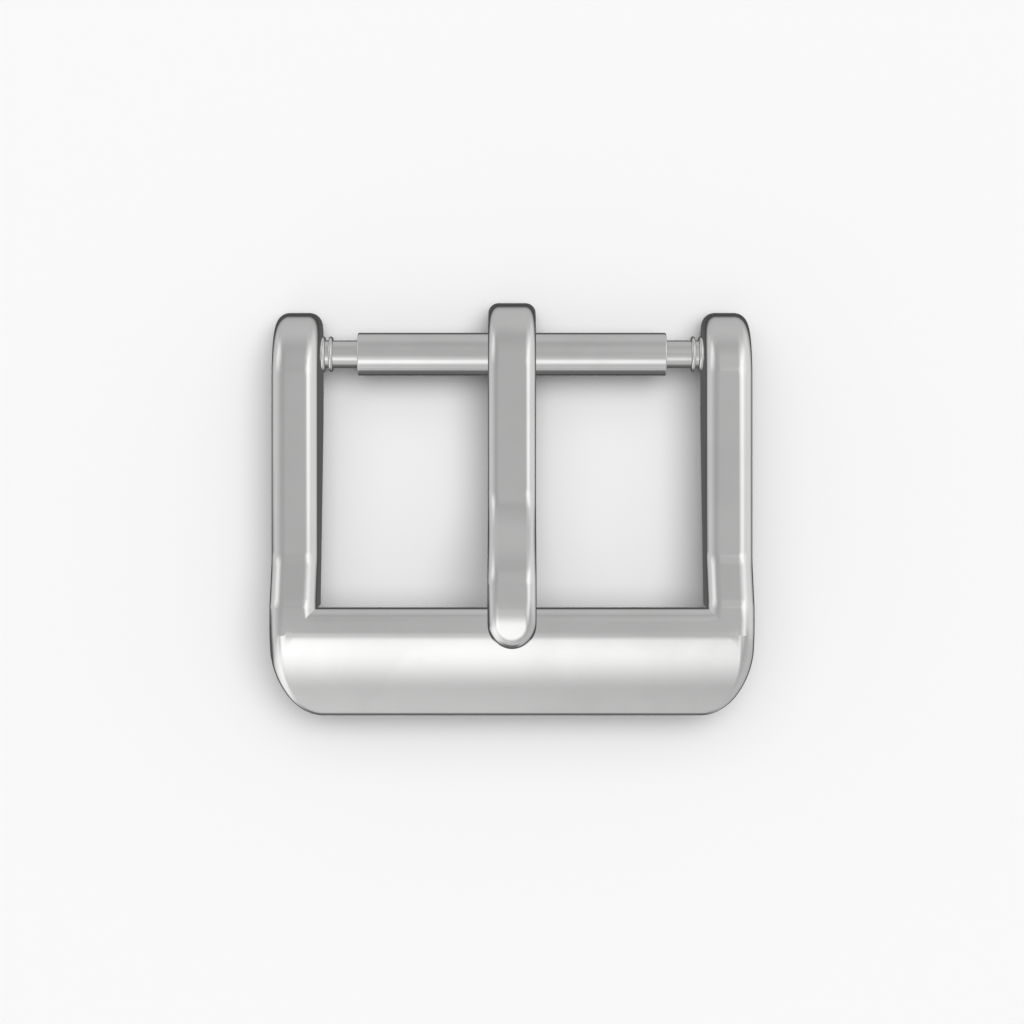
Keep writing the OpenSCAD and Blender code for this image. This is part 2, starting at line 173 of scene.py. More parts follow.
# %% [markdown]
# ## Cross-sections
# The frame and the tongue share one recipe. Seen from the side each has an upper and a lower profile,
# rounded at the rear by a crown and a heel. Seen from above each has two walls. The edges between the
# walls and the two faces are rounded, and the rounding narrows where the real edge is crisp.

# %% Profiles and cross-sections
FILLET_STEPS, BEND_STEPS, CROWN_STEPS = 10, 14, 22
FACE_STEPS = 40
# Where the crown's arc hands over to the heel's, from straight up
CROWN_END = math.radians(80)
# Distance on each side over which a slope is measured, in millimetres
SLOPE_REACH = 0.02


def mix(a, b, t):
    return a + (b - a) * t


def round_corner(a, b, c, radius):
    """The arc that rounds corner b between a and c"""
    a, b, c = Vector(a), Vector(b), Vector(c)
    u, v = (a - b).normalized(), (c - b).normalized()
    half = math.acos(u.dot(v)) / 2
    middle = b + (u + v).normalized() * radius / math.sin(half)
    back, side = -(u + v).normalized(), (v - u).normalized()
    turns = [(math.pi / 2 - half) * (2 * k / BEND_STEPS - 1) for k in range(BEND_STEPS + 1)]
    return [middle + radius * (math.cos(f) * back + math.sin(f) * side) for f in turns]


def profile(corners):
    """Points of a side profile from its corners (s, z, radius)"""
    places = [Vector(c[:2]) for c in corners]
    points = [places[0]]
    for k in range(1, len(corners) - 1):
        points += round_corner(places[k - 1], places[k], places[k + 1], corners[k][2])
    return points + [places[-1]]


def height(path, s):
    for a, b in zip(path, path[1:]):
        if s <= b.x:
            return mix(a.y, b.y, max(0.0, (s - a.x) / max(1e-9, b.x - a.x)))
    return path[-1].y


def slope(path, s):
    rise = height(path, s + SLOPE_REACH) - height(path, s - SLOPE_REACH)
    return math.atan2(rise, 2 * SLOPE_REACH)


def lean_of(tilt, out, fade=1.0):
    """An edge's rounding leans with the slope on walls along the strap, and stands upright across it"""
    return tilt * out[0] ** 2 / (out[0] ** 2 + out[1] ** 2) * fade


class Crown:
    """The arc that rounds a piece's rear above, and the heel's arc that touches it below"""

    def __init__(self, reach, radius, top, foot):
        self.radius, self.z = radius, top - radius
        join_z = self.z + radius * math.cos(CROWN_END)
        self.heel = (join_z - foot) / (1 + math.cos(CROWN_END))
        self.heel_s, self.heel_z = self.heel - reach, foot + self.heel
        self.s = self.heel_s + (radius - self.heel) * math.sin(CROWN_END)

    def above(self, angle):
        s, z = self.s - self.radius * math.sin(angle), self.z + self.radius * math.cos(angle)
        return s, z, angle

    def below(self, angle):
        s, z = self.heel_s - self.heel * math.sin(angle), self.heel_z + self.heel * math.cos(angle)
        return s, z, angle


def edge_point(wall, out, radius, turn, face, fixed):
    """A point on the rounded edge between a wall and a face. turn runs from the wall to the face.
    face gives the height there and the rounding's lean, unless both are fixed"""
    x, s = (wall[k] - radius * (1 - math.cos(turn)) * out[k] for k in (0, 1))
    drop = radius * (1 - math.sin(turn))
    z, lean = fixed if fixed else face(s, out)
    return Vector((x, axis_y - s - drop * math.sin(lean), z - drop * math.cos(lean)))


def edge_arc(wall, out, radius, face, fixed=None):
    turns = [math.pi / 2 * k / FILLET_STEPS for k in range(FILLET_STEPS + 1)]
    return [edge_point(wall, out, radius, turn, face, fixed) for turn in turns]


def across(a, b, face, fixed=None):
    """Points of a face between two edges"""
    points = []
    for k in range(1, FACE_STEPS + 1):
        p = a.lerp(b, k / (FACE_STEPS + 1))
        points.append(Vector((p.x, p.y, fixed[0] if fixed else face(axis_y - p.y, (1, 0))[0])))
    return points


def section(one, two, top, under, fixed=(None, None)):
    """One ring of points: up the first wall, over the top, down the second wall and back underneath.
    Each is (plan point above, plan point below, outward direction, radius above, radius below)"""
    up_one, up_two = (edge_arc(w[0], w[2], w[3], top, fixed[0]) for w in (one, two))
    low_one, low_two = (edge_arc(w[1], w[2], w[4], under, fixed[1]) for w in (one, two))
    return (low_one[::-1] + up_one + across(up_one[-1], up_two[-1], top, fixed[0])
            + up_two[::-1] + low_two + across(low_two[-1], low_one[-1], under, fixed[1]))


def straight(walls, s_top, s_low, ease, faces, fixed=(None, None)):
    """A cross-section with straight walls, each (x, out, radius above, radius below). ease runs from 0,
    where the lower edge is rounded like the upper one, to 1"""
    sides = [((x, s_top), (x, s_low), (out, 0), top_r, mix(top_r, low_r, ease))
             for x, out, top_r, low_r in walls]
    return section(*sides, *faces, fixed)


def crown_sections(walls, crown, faces):
    """Cross-sections round the crown and the heel"""
    rings = []
    for k in range(CROWN_STEPS + 1):
        ease = k / CROWN_STEPS
        s_top, z_top, lean_top = crown.above(CROWN_END * (1 - ease))
        s_low, z_low, lean_low = crown.below(mix(CROWN_END, math.pi, ease))
        fixed = ((z_top, lean_top), (z_low, lean_low))
        rings.append(straight(walls, s_top, s_low, ease, faces, fixed))
    return rings


def spread(values, low, high, count):
    """The values from low to high without low, filled up at the widest gaps to count - 1 of them"""
    places = [low] + sorted(v for v in values if low < v < high) + [high]
    while len(places) < count:
        gap, k = max((b - a, k) for k, (a, b) in enumerate(zip(places, places[1:])))
        places.insert(k + 1, places[k] + gap / 2)
    return places[1:]


def side_sections(walls, crown, end_s, faces, paths, count):
    """Cross-sections from the crown to end_s, close together wherever a profile bends"""
    tops = spread([p.x for p in paths[0]], crown.s, end_s, count)
    lows = spread([p.x for p in paths[1]], crown.heel_s, end_s, count)
    return [straight(walls, s_top, s_low, 1, faces) for s_top, s_low in zip(tops, lows)]

# %% [markdown]
# ## The frame
# The real frame is one forged and polished piece: two arms that rise at the front into a broad domed
# bar. It could be cut from a block with booleans, but then its edges would have to be bevelled round
# the corner afterwards. A loft round the U keeps every rounding exact, and the window's corner stays a
# crisp mitre, because the cross-sections of the corner fan out from that one corner. Half of it is
# made, and a mirror modifier adds the other half.

# %% Sizes of the frame, as in the model
ARM_W = 1.95
BAR_D = 4.55
ARM_TOP = 3.45
CLIMB_TILT, CLIMB_LEAD, CLIMB_R = math.radians(24.5), 0.15, 1.3
CREST_FLAT = 0.86
SHOULDER_R, SHOULDER_TILT, DOME_R = 1.4, math.radians(18), 10
CORNER_W, CORNER_D = 2.13, 2.68
EDGE_R, WINDOW_EDGE_R, FRONT_EDGE_R, FOOT_EDGE_R, LIP_EDGE_R = 0.62, 0.55, 0.15, 0.25, 0.45
EAR_CROWN_R = 2.8
FOOT_D, FOOT_BEND_R = 2.6, 8
ARCH_Z, ARCH_LEAD, ARCH_R = 1.5, 0.08, 0.03
HOLLOW_Z, HOLLOW_RISE_D, HOLLOW_R = 2.8, 0.07, 0.9
LIP_W, LIP_SLOPE_D, LIP_R = 0.95, 1.5, 0.12
TIP_HOLE_D, TIP_HOLE_L = 0.9, 1.05
EAR_PLAY = 0.03
LEAN_FADE_D = 0.5

half_gap = half_w - ARM_W
window_s = front_s - BAR_D
frame_crown = Crown(frame_high.y - axis_y, EAR_CROWN_R, ARM_TOP, 0)
climb_s = window_s - CLIMB_LEAD
climb_foot_s = climb_s - (crest_z - ARM_TOP) / math.tan(CLIMB_TILT)
dome_s = window_s + CREST_FLAT
face_s = dome_s + SHOULDER_R * math.sin(SHOULDER_TILT)
face_z = crest_z - SHOULDER_R * (1 - math.cos(SHOULDER_TILT))
lip_s = front_s - LIP_W
arch_s = window_s - ARCH_LEAD
arm_top_path = profile([
    (frame_crown.s, ARM_TOP), (climb_foot_s, ARM_TOP, CLIMB_R), (climb_s, crest_z, CLIMB_R),
    (front_s, crest_z)])
frame_under_path = profile([
    (frame_crown.heel_s, 0), (FOOT_D, 0, FOOT_BEND_R), (arch_s, ARCH_Z, ARCH_R),
    (arch_s + HOLLOW_RISE_D, HOLLOW_Z, ARCH_R), (lip_s - LIP_SLOPE_D, HOLLOW_Z, HOLLOW_R),
    (lip_s, 0, LIP_R), (front_s, 0)])
print(f"window {2 * half_gap:.1f} x {window_s:.1f} mm, arms {ARM_W} mm wide, "
      f"climb from {climb_foot_s:.2f} mm")

# %% Faces of the frame
def frame_top(s, out):
    """Height of the upper face, and the lean of the rounding beside it: first the arms, climb and
    crest, then the shoulder, then the dome. Inside the window the lean fades out at the mitre"""
    fade = max(0, min(1, (window_s - s) / LEAN_FADE_D)) if out[0] < 0 else 1
    if s <= dome_s:
        return height(arm_top_path, s), lean_of(slope(arm_top_path, s), out, fade)
    if s <= face_s:
        tilt = math.asin((s - dome_s) / SHOULDER_R)
        return crest_z - SHOULDER_R * (1 - math.cos(tilt)), lean_of(-tilt, out, fade)
    tilt = math.asin(math.sin(SHOULDER_TILT) + (s - face_s) / DOME_R)
    return face_z - DOME_R * (math.cos(SHOULDER_TILT) - math.cos(tilt)), lean_of(-tilt, out, fade)


def frame_under(s, out):
    return height(frame_under_path, s), math.pi

# %% Loft of the frame
ARM_SECTIONS, SIDE_SECTIONS, CORNER_SECTIONS = 84, 5, 26


def corner_sections():
    """Cross-sections that fan out from the window's corner, round the outer outline"""
    mitre = ((half_gap, window_s), (half_gap, window_s), (-1, -1), WINDOW_EDGE_R, FOOT_EDGE_R)
    side_s = front_s - CORNER_D
    rings = []
    for k in range(1, SIDE_SECTIONS + 1):
        p = (half_w, mix(window_s, side_s, k / SIDE_SECTIONS))
        rings.append(section((p, p, (1, 0), EDGE_R, FOOT_EDGE_R), mitre, frame_top, frame_under))
    for k in range(1, CORNER_SECTIONS):
        turn = math.pi / 2 * k / CORNER_SECTIONS
        out = Vector((math.cos(turn) / CORNER_W, math.sin(turn) / CORNER_D)).normalized()
        p = (half_w - CORNER_W * (1 - math.cos(turn)), side_s + CORNER_D * math.sin(turn))
        ease = math.sin(turn) ** 2
        wall = (p, p, out, mix(EDGE_R, FRONT_EDGE_R, ease), mix(FOOT_EDGE_R, LIP_EDGE_R, ease))
        rings.append(section(wall, mitre, frame_top, frame_under))
    return rings


def bar_section(x_front, x_window):
    front = ((x_front, front_s), (x_front, front_s), (0, 1), FRONT_EDGE_R, LIP_EDGE_R)
    window = ((x_window, window_s), (x_window, window_s), (0, -1), WINDOW_EDGE_R, FOOT_EDGE_R)
    return section(front, window, frame_top, frame_under)


arm_walls = ((half_w, 1, EDGE_R, FOOT_EDGE_R), (half_gap, -1, WINDOW_EDGE_R, FOOT_EDGE_R))
frame_faces = (frame_top, frame_under)
frame_rings = crown_sections(arm_walls, frame_crown, frame_faces)
frame_rings += side_sections(arm_walls, frame_crown, window_s, frame_faces,
                             (arm_top_path, frame_under_path), ARM_SECTIONS)
frame_rings += corner_sections()
frame_rings += [bar_section(half_w - CORNER_W, half_gap), bar_section(0, 0)]
steel_frame = loft("polished_frame", frame_rings)
print("half a frame from", len(frame_rings), "cross-sections of", len(frame_rings[0]), "points")

# %% Mirror, tip holes and polish
apply_modifier(steel_frame, "MIRROR", use_axis=(True, False, False),
               merge_threshold=SAME_POINT_IN_MIRROR * MM)
for side in (-1, 1):
    centre = Vector((side * (half_gap + (TIP_HOLE_L - EAR_PLAY) / 2), axis_y, axis_z))
    bore(steel_frame, centre, TIP_HOLE_D / 2, TIP_HOLE_L + EAR_PLAY)
polish(steel_frame, angle=12)
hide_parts("buckle_frame")
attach(steel_frame, "frame")

# %% [markdown]
# ## The tongue
# The tongue is a short bent bar: an eye at its heel, a step up to the front bar, and a round nose that
# lies on the bar's crest. It is lofted in the same way. Its nose is a half circle in plan, so the last
# cross-sections turn until both walls meet. The eye is drilled afterwards, and its rims are broken.

# %% Sizes of the tongue, as in the model
TONGUE_CROWN_R = 2.85
TONGUE_TOP, SHANK_T, NOSE_T = 3.45, 1.5, 1.15
STEP_TILT, STEP_LEAD, STEP_R = math.radians(30), 1.4, 1.6
STEEP_TILT, STEEP_D, STEEP_R = math.radians(38), 1.4, 6.8
TIP_TILT, TIP_FALL_D, TIP_BEND_R = math.radians(20.5), 1.5, 3
TONGUE_EDGE_R, TONGUE_FOOT_R = 0.45, 0.15
HEEL_D, HEEL_BEND_R, THROAT_D, THROAT_R = 0.6, 1.2, 2.5, 1.4
EYE_PLAY = 0.05
TONGUE_SECTIONS, NOSE_SECTIONS = 110, 24

tongue_half = tongue_high.x
tip_s = axis_y - tongue_low.y
nose_s = tip_s - tongue_half
nose_top = tongue_high.z
rest_z = nose_top - NOSE_T
shank_z = TONGUE_TOP - SHANK_T
step_s = window_s - STEP_LEAD
gentle_d = ((nose_top - TONGUE_TOP) - STEEP_D * math.tan(STEEP_TILT)) / math.tan(STEP_TILT) / 2
gentle_rise = gentle_d * math.tan(STEP_TILT)
shank_s = step_s - STEEP_D - 2 * gentle_d
inner_r = STEP_R - NOSE_T / 2
tongue_crown = Crown(tongue_high.y - axis_y, TONGUE_CROWN_R, TONGUE_TOP, tongue_low.z)
tongue_top_path = profile([
    (tongue_crown.s, TONGUE_TOP), (shank_s, TONGUE_TOP, STEP_R),
    (shank_s + gentle_d, TONGUE_TOP + gentle_rise, STEEP_R),
    (step_s - gentle_d, nose_top - gentle_rise, STEEP_R), (step_s, nose_top, STEP_R),
    (tip_s - TIP_FALL_D, nose_top, TIP_BEND_R),
    (tip_s, nose_top - TIP_FALL_D * math.tan(TIP_TILT))])
tongue_under_path = profile([
    (tongue_crown.heel_s, tongue_low.z), (HEEL_D, tongue_low.z, HEEL_BEND_R),
    (THROAT_D, shank_z, THROAT_R),
    (shank_s + SHANK_T * math.tan(STEP_TILT / 2), shank_z, inner_r),
    (step_s + NOSE_T * math.tan(STEP_TILT / 2), rest_z, inner_r), (tip_s, rest_z)])
print(f"tongue {tip_s - axis_y + tongue_high.y:.2f} mm long, "
      f"nose from {rest_z:.2f} to {nose_top:.2f} mm")

# %% Loft of the tongue
def tongue_top(s, out):
    return height(tongue_top_path, s), lean_of(slope(tongue_top_path, s), out)


def tongue_under(s, out):
    return height(tongue_under_path, s), math.pi


def nose_section(turn):
    x, s = tongue_half * math.cos(turn), nose_s + tongue_half * math.sin(turn)
    walls = [((side * x, s), (side * x, s), (side * math.cos(turn), math.sin(turn)),
              TONGUE_EDGE_R, TONGUE_FOOT_R) for side in (1, -1)]
    return section(*walls, tongue_top, tongue_under)


tongue_walls = [(side * tongue_half, side, TONGUE_EDGE_R, TONGUE_FOOT_R) for side in (1, -1)]
tongue_faces = (tongue_top, tongue_under)
tongue_rings = crown_sections(tongue_walls, tongue_crown, tongue_faces)
tongue_rings += side_sections(tongue_walls, tongue_crown, nose_s, tongue_faces,
                              (tongue_top_path, tongue_under_path), TONGUE_SECTIONS)
tongue_rings += [nose_section(math.pi / 2 * k / NOSE_SECTIONS) for k in range(1, NOSE_SECTIONS + 1)]
tongue = loft("polished_tongue", tongue_rings)

# %% Eye of the tongue
EYE_RIM, EYE_RIM_SEGMENTS = 0.06, 4
# How close to the rim's circle a point has to be, to be on it
RIM_TOLERANCE = 0.01
eye_r = (tube_high.z - tube_low.z) / 2 + EYE_PLAY
right_through = 3 * tongue_half
bore(tongue, Vector((0, axis_y, axis_z)), eye_r, right_through)


def select_edges(piece, wanted):
    only(piece)
    bpy.ops.object.mode_set(mode="EDIT")
    bpy.ops.mesh.select_all(action="DESELECT")
    bpy.ops.object.mode_set(mode="OBJECT")
    points = [v.co / MM for v in piece.data.vertices]
    for edge in piece.data.edges:
        edge.select = wanted(*(points[k] for k in edge.vertices))
    bpy.ops.object.mode_set(mode="EDIT")
    bpy.ops.mesh.select_mode(type="EDGE")


def on_rim(a, b):
    return all(abs(abs(p.x) - tongue_half) < RIM_TOLERANCE
               and abs(math.hypot(p.y - axis_y, p.z - axis_z) - eye_r) < RIM_TOLERANCE
               for p in (a, b))


select_edges(tongue, on_rim)
# Without the slide the rim keeps an even width. With it, points would run far along the loft's edges
bpy.ops.mesh.bevel(offset=EYE_RIM * MM, segments=EYE_RIM_SEGMENTS, loop_slide=False)
bpy.ops.object.mode_set(mode="OBJECT")
polish(tongue, angle=25)
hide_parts("tongue")
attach(tongue, "tang")

# %% [markdown]
# ## The spring bar
# The bar is a thin tube with a spring-loaded plunger at each end. All its parts are turned, so each is
# a profile of radius and length carried round the axis: a circle is added and extruded from one
# profile point to the next. The tube's ends are rolled in round the shafts, which holds the plungers.

# %% Turned parts
TURN_POINTS = 128
TUBE_WALL, ROLL_L, ROLL_ROUND, ROLL_LIP_ROUND = 0.15, 0.3, 0.05, 0.03
SHAFT_D, FLANGE_D, FLANGE_T, GROOVE_W = 1.16, 1.5, 0.17, 0.15
TIP_D, TIP_ROUND, HEAD_CHAMFER = 0.8, 0.15, 0.06
PLUNGER_PLAY = 0.03


def turned(name, outline):
    """A turned part from its outline of (radius, x). The outline is closed, or ends on the axis"""
    rings = [[Vector((x, axis_y + r * math.cos(2 * math.pi * k / TURN_POINTS),
                      axis_z + r * math.sin(2 * math.pi * k / TURN_POINTS))) for k in range(TURN_POINTS)]
             for r, x in outline]
    return loft(name, rings)


def arc(r, x, radius, start, end, steps=8):
    """Points of an arc about (r, x), from the angle start to the angle end in degrees"""
    angles = [math.radians(mix(start, end, k / steps)) for k in range(steps + 1)]
    return [(r + radius * math.cos(a), x + radius * math.sin(a)) for a in angles]


tube_r = tube_high.z - axis_z
bore_r = tube_r - TUBE_WALL
end_x = tube_high.x
roll_hole_r = SHAFT_D / 2 + PLUNGER_PLAY
right_half = ([(bore_r, 0), (bore_r, end_x - ROLL_L), (roll_hole_r, end_x - ROLL_L)]
              + arc(roll_hole_r + ROLL_LIP_ROUND, end_x - ROLL_LIP_ROUND, ROLL_LIP_ROUND, 180, 90, 3)
              + arc(tube_r - ROLL_ROUND, end_x - ROLL_ROUND, ROLL_ROUND, 90, 0))
left_half = [(r, -x) for r, x in right_half[::-1][:-1]]
bar_tube = turned("spring_bar_tube_polished", right_half + left_half + [right_half[0]])
polish(bar_tube, angle=30)
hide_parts("spring_bar_tube")
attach(bar_tube, "spring_bar")

# %% Plungers
head_out_x = end_x - ROLL_L - PLUNGER_PLAY
head_in_x = tip_low.x
head_r = bore_r - PLUNGER_PLAY
shoulder_x = half_gap - EAR_PLAY
flange_x = shoulder_x - 2 * FLANGE_T - GROOVE_W
bead = FLANGE_T / 2
shaft_r = SHAFT_D / 2
plunger_outline = ([(0, head_in_x), (head_r - HEAD_CHAMFER, head_in_x),
                    (head_r, head_in_x + HEAD_CHAMFER), (head_r, head_out_x),
                    (shaft_r, head_out_x), (shaft_r, flange_x)]
                   + arc(FLANGE_D / 2 - bead, flange_x + bead, bead, -90, 90)
                   + [(shaft_r, flange_x + FLANGE_T), (shaft_r, shoulder_x - FLANGE_T)]
                   + arc(FLANGE_D / 2 - bead, shoulder_x - bead, bead, -90, 90)
                   + [(TIP_D / 2, shoulder_x)]
                   + arc(TIP_D / 2 - TIP_ROUND, tip_high.x - TIP_ROUND, TIP_ROUND, 0, 90)
                   + [(0, tip_high.x)])
plungers = {}
for name, side, body in (("left", -1, "left_tip"), ("right", 1, "right_tip")):
    plunger = turned(f"{name}_plunger_turned", [(r, side * x) for r, x in plunger_outline])
    polish(plunger, angle=30)
    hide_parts(f"{name}_plunger")
    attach(plunger, body)
    plungers[name] = plunger

# %% [markdown]
# ## The coil spring
# The spring hides in the tube and pushes the plungers apart. Each of its halves is a thin ring of
# edges extruded along a helix.

# %% Coil spring in two halves
WIRE_D, COIL_TURNS = 0.2, 16
WIRE_POINTS, RINGS_PER_TURN = 12, 28
# Share of a turn on each side over which the wire's direction is measured
TURN_REACH = 0.01


def coil_centre(turn_share):
    angle = 2 * math.pi * turn_share
    return Vector((mix(coil_low.x, coil_high.x, turn_share / COIL_TURNS) * coil_trim,
                   axis_y + coil_r * math.cos(angle), axis_z + coil_r * math.sin(angle)))


def coil_ring(turn_share):
    angle = 2 * math.pi * turn_share
    out = Vector((0, math.cos(angle), math.sin(angle)))
    along = (coil_centre(turn_share + TURN_REACH) - coil_centre(turn_share - TURN_REACH)).normalized()
    across_wire = along.cross(out)
    centre = coil_centre(turn_share)
    return [centre + WIRE_D / 2 * (math.cos(2 * math.pi * k / WIRE_POINTS) * out
                                   + math.sin(2 * math.pi * k / WIRE_POINTS) * across_wire)
            for k in range(WIRE_POINTS)]


def close_ends(piece):
    only(piece)
    bpy.ops.object.mode_set(mode="EDIT")
    bpy.ops.mesh.select_all(action="SELECT")
    bpy.ops.mesh.fill_holes(sides=0)
    bpy.ops.mesh.normals_make_consistent(inside=False)
    bpy.ops.object.mode_set(mode="OBJECT")


coil_r = (coil_high.z - coil_low.z - WIRE_D) / 2
coil_trim = 1 - WIRE_D / (coil_high.x - coil_low.x)
half_count = COIL_TURNS // 2 * RINGS_PER_TURN
halves = {}
for name, first, body, end in (("left", 0, "left_tip", coil_low.x),
                               ("right", half_count, "right_tip", coil_high.x)):
    rings = [coil_ring((first + k) / RINGS_PER_TURN) for k in range(half_count + 1)]
    half = loft(f"bar_spring_{name}_half", rings)
    close_ends(half)
    polish(half, angle=40)
    halves[name] = half
    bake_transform(half)
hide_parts("bar_spring")
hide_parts("bar_spring")

# %% [markdown]
# ## Steel
# The buckle is polished stainless steel. Its look is mostly what it mirrors, so the finish is a clean
# metal with a low roughness, and the detail is very fine: lines left by the polishing wheel, and a faint
# film from handling that dulls it in patches. These two effects are node groups, and each finish uses
# them with its own scale and strength.

# %% Node group helpers
def new_group(name, inputs, outputs):
    group = bpy.data.node_groups.new(name, "ShaderNodeTree")
    for label, value in inputs.items():
        socket = group.interface.new_socket(label, in_out="INPUT", socket_type="NodeSocketFloat")
        socket.default_value = value
    for label in outputs:
        group.interface.new_socket(label, in_out="OUTPUT", socket_type="NodeSocketFloat")
    return group, group.nodes.new("NodeGroupInput"), group.nodes.new("NodeGroupOutput")


def add_node(tree, kind, **settings):
    node = tree.nodes.new(kind)
    for key, value in settings.items():
        if key in node.inputs:
            node.inputs[key].default_value = value
        else:
            setattr(node, key, value)
    return node


def math_node(tree, operation, *values):
    node = add_node(tree, "ShaderNodeMath", operation=operation)
    for socket, value in zip(node.inputs, values):
        if isinstance(value, bpy.types.NodeSocket):
            tree.links.new(value, socket)
        else:
            socket.default_value = value
    return node.outputs[0]

# %% Polishing lines and handling film
LINES_PER_METRE, FILM_PER_METRE = 16000, 260
# The noise value at which the film starts, and the one at which it is full
FILM_START, FILM_FULL = 0.42, 0.68


def polishing_lines():
    """Fine lines along the axis on which the noise is stretched. A small stretch makes long lines"""
    inputs = {"Per metre": LINES_PER_METRE, "Stretch X": 1, "Stretch Y": 1, "Stretch Z": 1}
    group, source, result = new_group("Polishing lines", inputs, ["Lines"])
    links = group.links
    place = add_node(group, "ShaderNodeTexCoord")
    stretch = add_node(group, "ShaderNodeCombineXYZ")
    scaled = add_node(group, "ShaderNodeVectorMath", operation="MULTIPLY")
    noise = add_node(group, "ShaderNodeTexNoise", Detail=2.0, Roughness=0.6)
    for axis in "XYZ":
        links.new(source.outputs[f"Stretch {axis}"], stretch.inputs[axis])
    links.new(place.outputs["Object"], scaled.inputs[0])
    links.new(stretch.outputs[0], scaled.inputs[1])
    links.new(scaled.outputs[0], noise.inputs["Vector"])
    links.new(source.outputs["Per metre"], noise.inputs["Scale"])
    links.new(noise.outputs[0], result.inputs["Lines"])
    return group


def handling_film():
    """Soft patches where fingers and strap have dulled the polish"""
    group, source, result = new_group("Handling film", {"Per metre": FILM_PER_METRE}, ["Film"])
    place = add_node(group, "ShaderNodeTexCoord")
    noise = add_node(group, "ShaderNodeTexNoise", Detail=4.0, Roughness=0.55, Distortion=0.4)
    ramp = add_node(group, "ShaderNodeMapRange", interpolation_type="SMOOTHSTEP")
    ramp.inputs["From Min"].default_value = FILM_START
    ramp.inputs["From Max"].default_value = FILM_FULL
    group.links.new(place.outputs["Object"], noise.inputs["Vector"])
    group.links.new(source.outputs["Per metre"], noise.inputs["Scale"])
    group.links.new(noise.outputs[0], ramp.inputs["Value"])
    group.links.new(ramp.outputs[0], result.inputs["Film"])
    return group


effects = {"lines": polishing_lines(), "film": handling_film()}
print("effects:", [group.name for group in effects.values()])

# %% A steel finish
# How far the lines raise the roughness, as a share of it
LINE_SHARE = 0.5


def place_effect(tree, name, **values):
    node = add_node(tree, "ShaderNodeGroup", node_tree=effects[name])
    for label, value in values.items():
        node.inputs[label.replace("_", " ")].default_value = value
    return node.outputs[0]


def steel(name, tone, dull_tone, roughness, film_roughness, stretch, line_depth):
    """Bright metal: tone where it is clean, dull_tone under the film. line_depth is in millimetres"""
    material = bpy.data.materials.new(name)
    material.use_nodes = True
    tree = material.node_tree
    shader = tree.nodes["Principled BSDF"]
    shader.inputs["Metallic"].default_value = 1.0
    line = place_effect(tree, "lines", Stretch_X=stretch[0], Stretch_Y=stretch[1], Stretch_Z=stretch[2])
    film = place_effect(tree, "film")
    colour = add_node(tree, "ShaderNodeMix", data_type="RGBA")
    colour.inputs["A"].default_value = (*tone, 1)
    colour.inputs["B"].default_value = (*dull_tone, 1)
    tree.links.new(film, colour.inputs["Factor"])
    tree.links.new(colour.outputs["Result"], shader.inputs["Base Color"])
    dulled = math_node(tree, "MULTIPLY_ADD", film, film_roughness, roughness)
    lined = math_node(tree, "MULTIPLY_ADD", line, roughness * LINE_SHARE, dulled)
    tree.links.new(lined, shader.inputs["Roughness"])
    bump = add_node(tree, "ShaderNodeBump", Strength=1.0, Distance=line_depth * MM)
    tree.links.new(line, bump.inputs["Height"])
    tree.links.new(bump.outputs["Normal"], shader.inputs["Normal"])
    return material


def dress(piece, material):
    """Gives a piece its finish. No piece mirrors another, only the studio, so mirror rays pass by it"""
    piece.data.materials.clear()
    piece.data.materials.append(material)
    piece.visible_glossy = False


POLISHED, POLISHED_DULL = (0.80, 0.80, 0.795), (0.765, 0.765, 0.76)
TUBE, TUBE_DULL = (0.79, 0.79, 0.785), (0.75, 0.75, 0.745)
TURNED, TURNED_DULL = (0.76, 0.76, 0.75), (0.70, 0.70, 0.69)
WIRE, WIRE_DULL = (0.62, 0.61, 0.60), (0.52, 0.51, 0.50)
# The tones, the roughness, what the film adds to it, the lines' stretch and their depth
frame_steel = steel("Frame steel", POLISHED, POLISHED_DULL, 0.06, 0.05, (0.05, 1, 1), 0.0002)
tongue_steel = steel("Tongue steel", POLISHED, POLISHED_DULL, 0.07, 0.05, (1, 0.05, 1), 0.0002)
tube_steel = steel("Tube steel", TUBE, TUBE_DULL, 0.08, 0.05, (1, 0.03, 0.03), 0.0002)
plunger_steel = steel("Turned steel", TURNED, TURNED_DULL, 0.16, 0.06, (1, 0.02, 0.02), 0.0008)
spring_steel = steel("Spring steel", WIRE, WIRE_DULL, 0.25, 0.08, (1, 1, 1), 0.0010)
dress(steel_frame, frame_steel)
dress(tongue, tongue_steel)
dress(bar_tube, tube_steel)
for plunger in plungers.values():
    dress(plunger, plunger_steel)
for half in halves.values():
    dress(half, spring_steel)
print("finishes:", [m.name for m in bpy.data.materials if m.use_nodes and "steel" in m.name])

# %% [markdown]
# ## The studio
# Polished steel shows its surroundings, so the studio is built as the world that the steel mirrors: a
# grey tent, dark below the table's level, with soft boxes and black cards standing round it. Real
# lamps could stand there instead, but they would also light the floor unevenly and be sampled as noise.
# A box or card is a patch of the sky, given by where it stands round the table and how far it is from
# straight up, with soft borders.
#
# The floor needs other light than the steel: its shadow is soft, short and strongest at the lower left.
# So the world gives matt surfaces only a part of its light, and two wide suns from the upper right,
# which the steel doesn't mirror, give the rest. Together they light a matt surface at a plain level:
# the floor's grey renders as it is written. The steel's own glints on the floor are left out, as they
# would wash out the shadow next to the pieces.

# %% World of soft boxes
# What matt surfaces get of the world's light. The suns make up the rest, so that the light is plain
MATT_SHARE = 0.43
